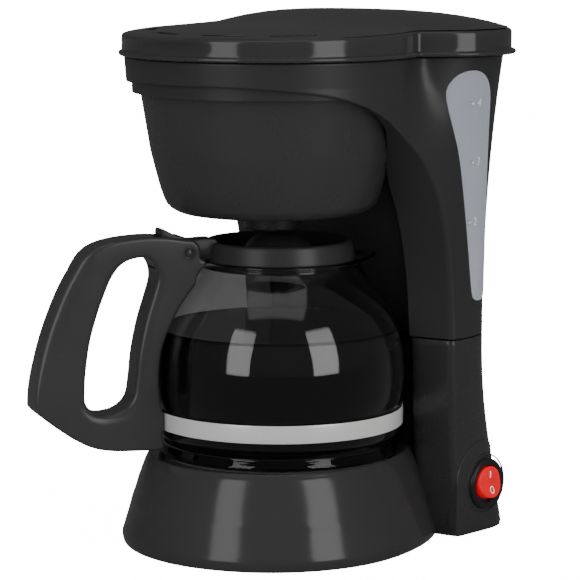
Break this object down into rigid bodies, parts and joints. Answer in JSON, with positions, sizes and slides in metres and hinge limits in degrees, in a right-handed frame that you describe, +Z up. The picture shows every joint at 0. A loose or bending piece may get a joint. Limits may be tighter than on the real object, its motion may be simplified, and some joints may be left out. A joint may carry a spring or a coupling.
{
  "type": "drip coffee maker",
  "caption": "Compact drip coffee maker with a glass carafe on a warming plate, a fixed brew basket, a hinged top lid, a water gauge window and a rocker switch.",
  "frame": {"origin": "bottom centre of the whole object, carafe handle included, on the surface it stands on", "axes": "+Z up, front and carafe towards -Y, switch and gauge window towards +X"},
  "size_m": [0.1616, 0.2118, 0.2384],
  "materials": {
    "gloss_black": "glossy black moulded plastic",
    "satin_black": "satin black moulded plastic",
    "clear_glass": "clear borosilicate glass",
    "steel": "fine brushed stainless steel",
    "gauge_blue": "translucent blue-grey moulded window",
    "tank_plastic": "translucent natural polypropylene",
    "switch_red": "translucent red moulded plastic",
    "silicone": "milky silicone rubber",
    "rubber": "matte black rubber",
    "aluminium": "cast aluminium",
    "plate_coating": "dark non-stick coating on steel",
    "brass": "plain brass",
    "mesh_gold": "fine gold-coloured mesh",
    "wire_sleeve": "woven glass-fibre sleeve"
  },
  "bodies": {
    "machine": {"basket_housing": "gloss_black", "bottom_cover": "satin_black", "check_valve_body": "tank_plastic", "cold_hose": "silicone", "cord_gland": "rubber", "cover_screw_1": "steel", "cover_screw_2": "steel", "cover_screw_3": "steel", "cover_screw_4": "steel", "filter_holder": "satin_black", "foot_1": "rubber", "foot_2": "rubber", "foot_3": "rubber", "foot_4": "rubber", "gauge_window": "gauge_blue", "heater_clamp": "steel", "heater_element": "aluminium", "hose_clamp_1": "steel", "hose_clamp_2": "steel", "hot_hose": "silicone", "hot_plate": "plate_coating", "hot_plate_seal": "silicone", "housing_screw_1": "steel", "housing_screw_2": "steel", "lead_return": "wire_sleeve", "lead_supply": "wire_sleeve", "lead_switched": "wire_sleeve", "lower_housing": "gloss_black", "mesh_filter": "mesh_gold", "riser_tube": "tank_plastic", "spray_head": "satin_black", "switch_body": "satin_black", "switch_terminal_1": "brass", "switch_terminal_2": "brass", "thermal_fuse_1": "wire_sleeve", "thermal_fuse_2": "wire_sleeve", "thermostat": "brass", "upper_housing": "gloss_black", "water_tank": "tank_plastic"},
    "lid": {"top_lid": "gloss_black", "lid_hinge_pin_left": "steel", "lid_hinge_pin_right": "steel"},
    "rocker": {"switch_rocker": "switch_red"},
    "drip_stop": {"drip_stop_valve": "satin_black", "drip_stop_spring": "steel"},
    "check_ball": {"check_valve_ball": "steel"},
    "carafe": {"carafe_glass": "clear_glass", "carafe_band": "steel", "carafe_handle": "gloss_black", "carafe_hinge_pin": "steel"},
    "carafe_cover": {"carafe_lid": "satin_black"}
  },
  "joints": [
    {"name": "lid_hinge", "type": "hinge", "parent": "machine", "child": "lid", "pos_m": [0, 0.1029, 0.2164], "axis": [-1, 0, 0], "range_deg": [0, 95]},
    {"name": "switch_rock", "type": "hinge", "parent": "machine", "child": "rocker", "pos_m": [0.0611, 0.07, 0.0237], "axis": [0, 1, 0], "range_deg": [0, 18]},
    {"name": "drip_stop_lift", "type": "slide", "parent": "machine", "child": "drip_stop", "axis": [0, 0, 1], "range_m": [0, 0.002], "stiffness_N_per_m": 150, "deforming": ["drip_stop_spring"]},
    {"name": "check_ball_lift", "type": "slide", "parent": "machine", "child": "check_ball", "axis": [0, 0, 1], "range_m": [0, 0.0015]},
    {"name": "carafe_slide", "type": "slide", "parent": "machine", "child": "carafe", "axis": [0, -1, 0], "range_m": [0, 0.3]},
    {"name": "carafe_lid_hinge", "type": "hinge", "parent": "carafe", "child": "carafe_cover", "pos_m": [-0.02034, -0.04012, 0.1338], "axis": [0.891, -0.454, 0], "range_deg": [0, 30.1]}
  ],
  "couplings": [
    {"joint": "carafe_lid_hinge", "follows": "carafe_slide", "rad_per_m": 1.745}
  ]
}
